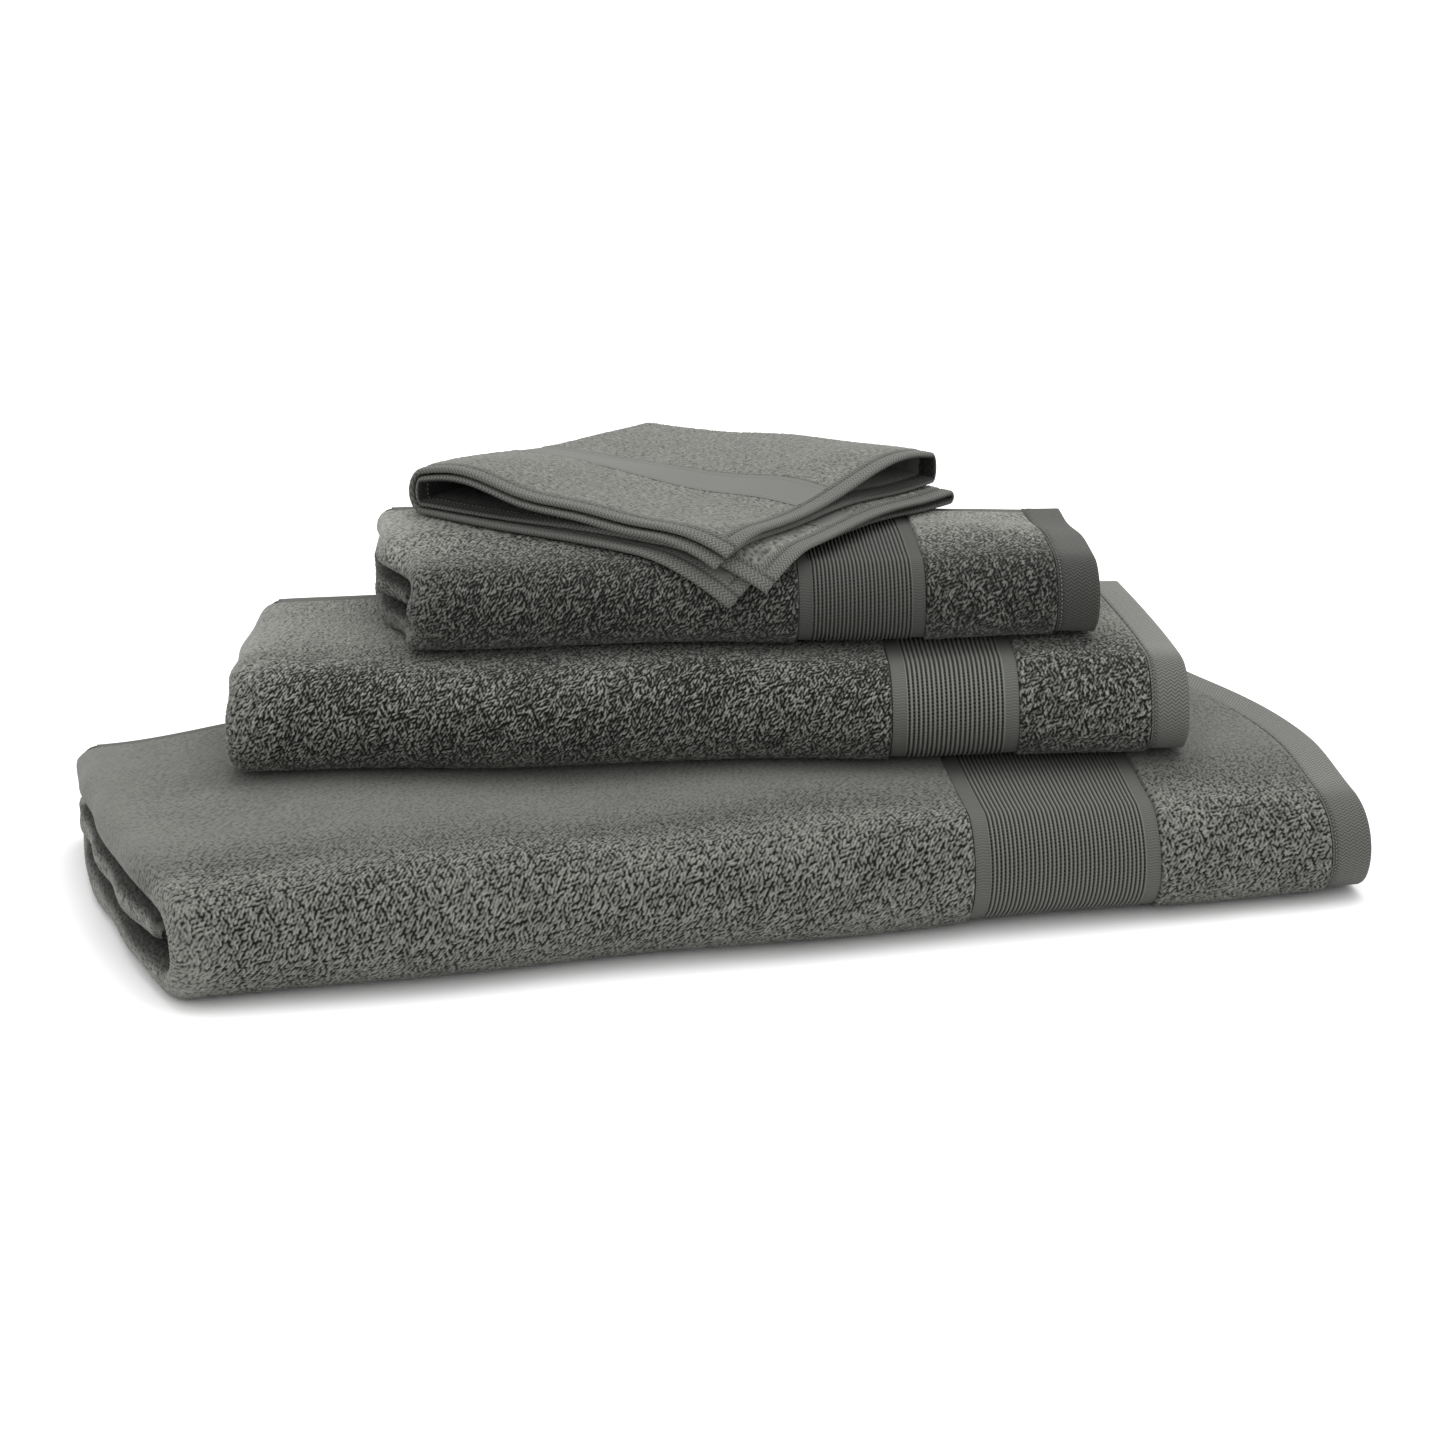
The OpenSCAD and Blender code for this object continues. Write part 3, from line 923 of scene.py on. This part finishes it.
def large_towel(t, rib, band, loop, lean, seed):
    """Makes every piece of a towel and gives it its material and body.

    rib and loop are the pitch of the cords and of the loops, band is the width of the plain
    bands beside the cords, and lean is the loops' direction in degrees from w.
    """
    run = t.border_x - t.roll_x
    turn_len = PI * t.half
    across = t.joins[5] + 0.002
    n = t.name
    image = loops(run + turn_len + 0.03, across, loop, lean, seed)
    body = finish_piece(core(t), M_HEM, n, "terry", f"{n}_terry")
    tufts = finish_piece(pile(t, image), M_TERRY, n, "terry")
    ribs = finish_piece(
        border(t, rib, band), M_WOVEN, n, "ribbed_border",
        f"{n}_outer_border", f"{n}_inner_border",
    )
    image = loops(t.hem_x - t.end_x + 0.002, across, loop, lean, seed + 1)
    end = finish_piece(
        end_pile(t, image), M_TERRY, n, "terry",
        f"{n}_outer_end_terry", f"{n}_inner_end_terry",
    )
    hem = finish_piece(
        end_hem(t), M_HEM, n, "hem", f"{n}_outer_end_hem", f"{n}_inner_end_hem"
    )
    sides = finish_piece(selvedge(t), M_HEM, n, "hem", f"{n}_side_hems")
    rows = finish_piece(towel_thread(t), M_THREAD, n, "thread", f"{n}_stitching")
    t.width()


large_towel(
    SHEET, rib=0.0027, band=0.0095, loop=0.0036, lean=60, seed=31
)
large_towel(
    BATH, rib=0.0029, band=0.0090, loop=0.0032, lean=62, seed=41
)
large_towel(
    HAND, rib=0.0025, band=0.0080, loop=0.0031, lean=62, seed=51
)

# ---------------------------------------------------------------- the washcloth


class Washcloth:
    """A square cloth folded in quarters, its front corner hanging over the hand towel.

    P and Q run over the opened cloth from its two fold lines. P > 0 is the upper pair of plies,
    Q > 0 the outer ply of each pair, and d is measured out from the middle of the cloth.
    """

    def __init__(self):
        self.turn = CLOTH_TURN - 45
        seams = self.square_box("stitching")
        terry_low, terry_high = self.square_box("terry")
        self.back_p, self.back_q = seams[0][0], seams[1][1]
        self.side = self.square_box("hems")[1][0] - self.back_p
        self.pitch = (terry_high[2] - terry_low[2] + GAP) / 4
        self.ply = self.pitch - GAP
        self.mid_z = (terry_high[2] + terry_low[2]) / 2
        self.reach_p = self.side + PI * self.pitch / 2
        self.reach_q = self.side + PI * self.pitch / 4

    def square_box(self, part):
        """The box of a CAD node along the folded square's two sides, about the hand towel."""
        own = turned_points(f"washcloth_{part}", -STACK_TURN)
        a, b = turned(own[:, 0] - HAND.place[0], own[:, 1] - HAND.place[1], -self.turn)
        own = np.stack([a, b, own[:, 2] - HAND.base], 1)
        return own.min(0), own.max(0)

    def folded(self, P, Q, d):
        """(p, q, z) of the folded square; z is measured from the middle of the stack."""
        r, R = self.pitch / 2, self.pitch
        turn_q = np.clip(Q / r, -PI / 2, PI / 2)
        q = np.maximum(np.abs(Q) - PI * r / 2, 0) - (r + d) * np.cos(turn_q)
        n = (r + d) * np.sin(turn_q)
        turn_p = np.clip(P / R, -PI / 2, PI / 2)
        p = np.maximum(np.abs(P) - PI * R / 2, 0) - (R + n) * np.cos(turn_p)
        return p, q, (R + n) * np.sin(turn_p)

    def at(self, P, Q, d):
        """A point of the soft cloth, in the row frame."""
        P, Q, d = np.broadcast_arrays(np.asarray(P, float), Q, d)
        upper = 0.5 + 0.5 * np.sin(np.clip(P / self.pitch, -PI / 2, PI / 2))
        outer = 0.5 + 0.5 * np.sin(np.clip(2 * Q / self.pitch, -PI / 2, PI / 2))
        p, q, z = self.folded(P, Q, d)
        z_middle = self.folded(P, Q, 0 * d)[2]
        along_p, along_q = np.clip(p / self.side, 0, 1), np.clip(q / self.side, 0, 1)
        far_p, far_q = smooth(along_p, 0.3, 1.0), smooth(along_q, 0.3, 1.0)
        gape = np.exp(-(((p - 0.034) / 0.060) ** 2)) * smooth(along_q, 0.35, 1.0) * upper
        mouth = np.exp(-(((q - 0.030) / 0.050) ** 2)) * smooth(along_p, 0.45, 1.0) * upper
        at_back = np.exp(-((np.hypot(p, q) / 0.10) ** 2))
        rise = 0.0150 * gape + 0.0165 * mouth * outer + 0.0010 * mouth - 0.014 * at_back
        rise = rise + (0.0009 + 0.0010 * np.maximum(far_p, far_q)) * swell(p, q, 61, 0.10) * upper
        retreat = 0.0085 * upper - 0.001
        skew = 0.0165 * (1 - upper) * (1 - outer) - 0.0050 * upper * (1 - outer)
        p = p + (skew - retreat) * far_p * along_q + 0.010 * at_back
        q = q - (skew + retreat) * far_q * along_p - 0.010 * at_back
        p = p + (0.009 + 0.014 * (1 - upper)) * far_p * (1 - along_q)
        q = q - 0.007 * far_p * (1 - along_q)
        p, q = p + 0.0065 * far_p * far_q, q - 0.0065 * far_p * far_q
        x, y = turned(self.back_p + p, self.back_q - q, self.turn)
        axis = HAND.height / 2
        r, middle = (self.mid_z + value + rise - axis for value in (z, z_middle))
        past = np.maximum(HAND.front - y, 0)
        turn = np.minimum(past / middle, PI / 2)
        y = np.where(past > 0, HAND.front - r * np.sin(turn), y)
        z = axis + r * np.cos(turn) - np.maximum(past - middle * PI / 2, 0)
        across = np.clip((y + HAND.depth / 2) / HAND.depth, 0, 1)
        y = y + hand_front(x, z) * (1 - across)
        z = settled(HAND, x, y, z, bath_drop, hand_drop)
        wx, wy = turned(x + HAND.place[0], y + HAND.place[1], STACK_TURN)
        return np.stack([wx, wy, z + HAND.base], -1)


# Half the length finely divided round the outer and inner folds, of the pile and of the core
PILE_TURNS = (0.020, 0.012)
CORE_TURNS = (0.012, 0.008)


def cloth_core(c):
    """The whole cloth as one closed sheet folded in quarters, under the pile."""
    p_end, q_end = c.reach_p - 0.002, c.reach_q - 0.002
    turn_p, turn_q = CORE_TURNS
    P = graded([-p_end, -turn_p, turn_p, p_end], [COARSE, FOLD_FINE, COARSE])[:, None]
    Q = graded([-q_end, -turn_q, turn_q, q_end], [COARSE, FOLD_FINE, COARSE])[None, :]
    build = Build()
    build.slab(c.at(P, Q, 0.001), c.at(P, Q, -0.001), INNER_LOFT, grid_uv(P, Q))
    return build.made("washcloth_cloth")


def band_edges(c):
    """How far from the inner fold the plain band starts and ends."""
    return [fraction * c.side + PI * c.pitch / 4 for fraction in CLOTH_BAND]


def cloth_terry(c, image):
    """The pile on both faces, in three strips between the plain bands and the hems."""
    build = Build()
    p_end, q_end = c.reach_p - CLOTH_HEM, c.reach_q - CLOTH_HEM
    band_0, band_1 = band_edges(c)
    turn_p, turn_q = PILE_TURNS
    P = graded([-p_end, -turn_p, turn_p, p_end], [CLOTH_ROUGH, FOLD_FINE, CLOTH_FINE])[:, None]
    strips = (
        graded([-q_end, -band_1], [CLOTH_ROUGH]),
        graded([-band_0, -turn_q, turn_q, band_0], [CLOTH_ROUGH, FOLD_FINE, CLOTH_FINE]),
        graded([band_1, q_end], [CLOTH_FINE]),
    )
    for strip in strips:
        Q = strip[None, :]
        near = np.minimum(p_end - np.abs(P), np.minimum(Q - strip[0], strip[-1] - Q))
        edge = smooth(near, 0.0, PILE_EDGE)
        loft = 1 - 0.78 * (1 - sampled(image, P + p_end, Q + q_end))
        pucker = 0.0004 * np.cos(2 * PI * (P + Q) / 0.0046)
        pucker = pucker * np.exp(-((near / 0.003) ** 2))
        half = c.ply / 2 - (PIT * (1 - loft) - pucker) * edge - 0.0012 * (1 - edge)
        # Painted shade: darker between the loops, where the pile drops at its edges, and inside the
        # open fold.
        shade = loft * (0.45 + 0.55 * edge) * cavity(P, Q) * 0.76
        build.slab(c.at(P, Q, half), c.at(P, Q, -half), shade, grid_uv(P, Q))
    return build.made("washcloth_pile")


def cavity(P, Q):
    """Less light on the faces that look into the open fold between the inner plies."""
    inner = 1 - smooth(Q, -0.012, 0.004)
    return 1 - 0.9 * inner * (1 - smooth(np.abs(P), 0.06, 0.17))


def cloth_band(c):
    """The two plain bands, each with a pair of raised lines at its edges."""
    build = Build()
    p_end = c.reach_p - CLOTH_HEM
    turn_p = PILE_TURNS[0]
    P = graded([-p_end, -turn_p, turn_p, p_end], [CLOTH_ROUGH, FOLD_FINE, 0.0018])[:, None]
    band_0, band_1 = band_edges(c)
    for q0, q1 in ((-band_1, -band_0), (band_0, band_1)):
        Q = graded([q0, q1], [0.0006])[None, :]
        lines = sum(
            np.exp(-(((Q - line) / 0.0006) ** 2))
            for line in (q0 + 0.0014, q0 + 0.0038, q1 - 0.0014, q1 - 0.0038)
        )
        half = c.ply / 2 - CLOTH_SKIN + 0.0006 * lines + 0 * P
        # Painted shade inside the open fold, from cavity.
        shade = (0.77 + 0.16 * lines + 0 * P) * cavity(P, Q)
        build.slab(c.at(P, Q, half), c.at(P, Q, -half), shade, grid_uv(P, Q))
    return build.made("washcloth_band")


def hem_section(width, half):
    """A turned hem's outline from its seam round its edge and back.

    Gives (distance out, offset d, length so far, shade) at each point.
    """
    flat = np.linspace(-0.0012, width - half, 12)
    round_edge = np.linspace(PI / 2, -PI / 2, 9)[1:-1]
    out = np.concatenate([flat, width - half + half * np.cos(round_edge), flat[::-1]])
    d = np.concatenate([np.full(12, half), half * np.sin(round_edge), np.full(12, -half)])
    pinch = np.exp(-(((out - CLOTH_SEAM_IN) / 0.0010) ** 2))
    d = d * (1 - 0.34 * pinch)
    length = np.concatenate([[0.0], np.cumsum(np.hypot(np.diff(out), np.diff(d)))])
    # The shade is painted shade, darker in the pinch at the seam.
    return out, d, length, 0.98 - 0.50 * pinch


def cloth_hems(c):
    """Four turned hems, two along the whole cloth and two between them."""
    build = Build()
    out, d, length, shade = (v[None, :] for v in hem_section(CLOTH_HEM, c.ply / 2 - CLOTH_SKIN))
    p_seam, q_seam = c.reach_p - CLOTH_HEM, c.reach_q - CLOTH_HEM
    steps = [0.0025, 0.0010, 0.0014]
    turn_p, turn_q = PILE_TURNS
    whole = graded([-c.reach_p, -turn_p, turn_p, c.reach_p], steps)[:, None]
    between = graded([-q_seam, -turn_q, turn_q, q_seam], steps)[:, None]
    for sign in (1, -1):
        past = np.maximum(np.abs(whole) - c.reach_p + 0.002, 0)
        ends = np.sqrt(np.clip(1 - past**2 / 4e-6, 0.02, 1))
        ruffle = 0.0002 * np.sin(2 * PI * whole / 0.0052)
        ruffle = ruffle * np.exp(-(((out - 0.003) / 0.003) ** 2))
        thick = (d + ruffle * np.sign(d)) * ends
        points = c.at(whole, sign * (q_seam + out), thick)
        # Painted shade on the hem faces that look into the open fold between the inner plies.
        inside = smooth(d, -0.0005, 0.0015) * (sign < 0)
        dim = 1 - 0.9 * inside * (1 - smooth(np.abs(whole), 0.06, 0.17))
        build.grid(points, shade * dim, grid_uv(length, whole), flip=sign < 0)
        points = c.at(sign * (p_seam + out), between, d + 0 * between)
        # Painted shade on the hem faces that look inwards, near the fold between them.
        mouth = smooth(-d, -0.0005, 0.0015) * (1 - smooth(np.abs(between), 0.05, 0.13))
        build.grid(points, shade * (1 - 0.85 * mouth), grid_uv(length, between), flip=sign > 0)
    return build.made("washcloth_hem")


def cloth_thread(c):
    """Stitch rows along all four seams, on the outer face."""
    half = c.ply / 2 - CLOTH_SKIN - 0.0004
    long = CLOTH_STITCH_LONG
    p_line, q_line = (reach - CLOTH_HEM + CLOTH_SEAM_IN for reach in (c.reach_p, c.reach_q))
    rows = []
    for sign in (1, -1):
        P = np.arange(-p_line, p_line, CLOTH_STITCH_STEP)
        Q = np.full(len(P), sign * q_line)
        rows.append((c.at(P, Q, half), c.at(P + long, Q, half), c.at(P, Q, half + 0.001)))
        Q = np.arange(-q_line, q_line, CLOTH_STITCH_STEP)
        P = np.full(len(Q), sign * p_line)
        rows.append((c.at(P, Q, half), c.at(P, Q + long, half), c.at(P, Q, half + 0.001)))
    return beads(rows, "washcloth_thread", CLOTH_STITCH_RADIUS)


CLOTH = Washcloth()
cloth_loops = loops(2 * CLOTH.reach_p, 2 * CLOTH.reach_q, 0.0025, -30, 71)
cloth_body = finish_piece(cloth_core(CLOTH), M_HEM, "washcloth", "terry")
cloth_pieces = [
    finish_piece(
        cloth_terry(CLOTH, cloth_loops), M_TERRY, "washcloth", "terry",
        "washcloth_terry", "washcloth_corner_terry",
    ),
    finish_piece(cloth_band(CLOTH), M_BAND, "washcloth", "plain_band", "washcloth_plain_band"),
    finish_piece(
        cloth_hems(CLOTH), M_HEM, "washcloth", "hem", "washcloth_hems", "washcloth_corner_hems"
    ),
    finish_piece(cloth_thread(CLOTH), M_THREAD, "washcloth", "thread", "washcloth_stitching"),
]

# ---------------------------------------------------------------- floor

FLOOR_REACH = 20
corners = [(x * FLOOR_REACH, y * FLOOR_REACH, 0) for x, y in ((-1, -1), (1, -1), (1, 1), (-1, 1))]
floor_mesh = bpy.data.meshes.new("floor")
floor_mesh.from_pydata(corners, [], [(0, 1, 2, 3)])
floor = bpy.data.objects.new("floor", floor_mesh)
bpy.context.scene.collection.objects.link(floor)


def plain_white(nt, shader):
    shader.inputs["Base Color"].default_value = (0.96, 0.96, 0.96, 1)
    shader.inputs["Roughness"].default_value = 1.0
    shader.inputs["Specular IOR Level"].default_value = 0.0


floor_mesh.materials.append(material("white floor", plain_white))

# ---------------------------------------------------------------- light and camera

world = bpy.data.worlds.new("studio")
world.use_nodes = True
background = world.node_tree.nodes["Background"]
background.inputs["Color"].default_value = (1, 1, 1, 1)
background.inputs["Strength"].default_value = 1.15
bpy.context.scene.world = world


def softbox(name, place, aim, size, power):
    """A rectangular soft light at place, turned towards aim."""
    light = bpy.data.lights.new(name, "AREA")
    light.shape = "RECTANGLE"
    light.size, light.size_y = size
    light.energy = power
    obj = bpy.data.objects.new(name, light)
    bpy.context.scene.collection.objects.link(obj)
    obj.location = place
    obj.rotation_euler = (Vector(aim) - Vector(place)).to_track_quat("-Z", "Y").to_euler()


softbox("overhead", place=(0.3, 0.3, 2.4), aim=(0, 0, 0.1), size=(2.6, 2.2), power=42)
bpy.context.scene.view_settings.view_transform = "Standard"

# The camera looks at TARGET from this direction and distance, with a long lens
AZIMUTH, ELEVATION, DISTANCE = math.radians(-14.3), math.radians(19.4), 3.143
TARGET = (-0.0093, -0.030, 0.1059)
camera = bpy.data.objects.new("camera", bpy.data.cameras.new("camera"))
bpy.context.scene.collection.objects.link(camera)
camera.data.sensor_width = 36.0
camera.data.lens = 124.9
camera.data.dof.use_dof = False
camera.location = (
    TARGET[0] + DISTANCE * math.sin(AZIMUTH) * math.cos(ELEVATION),
    TARGET[1] - DISTANCE * math.cos(AZIMUTH) * math.cos(ELEVATION),
    TARGET[2] + DISTANCE * math.sin(ELEVATION),
)
camera.rotation_euler = (PI / 2 - ELEVATION, 0, AZIMUTH)
bpy.context.scene.camera = camera
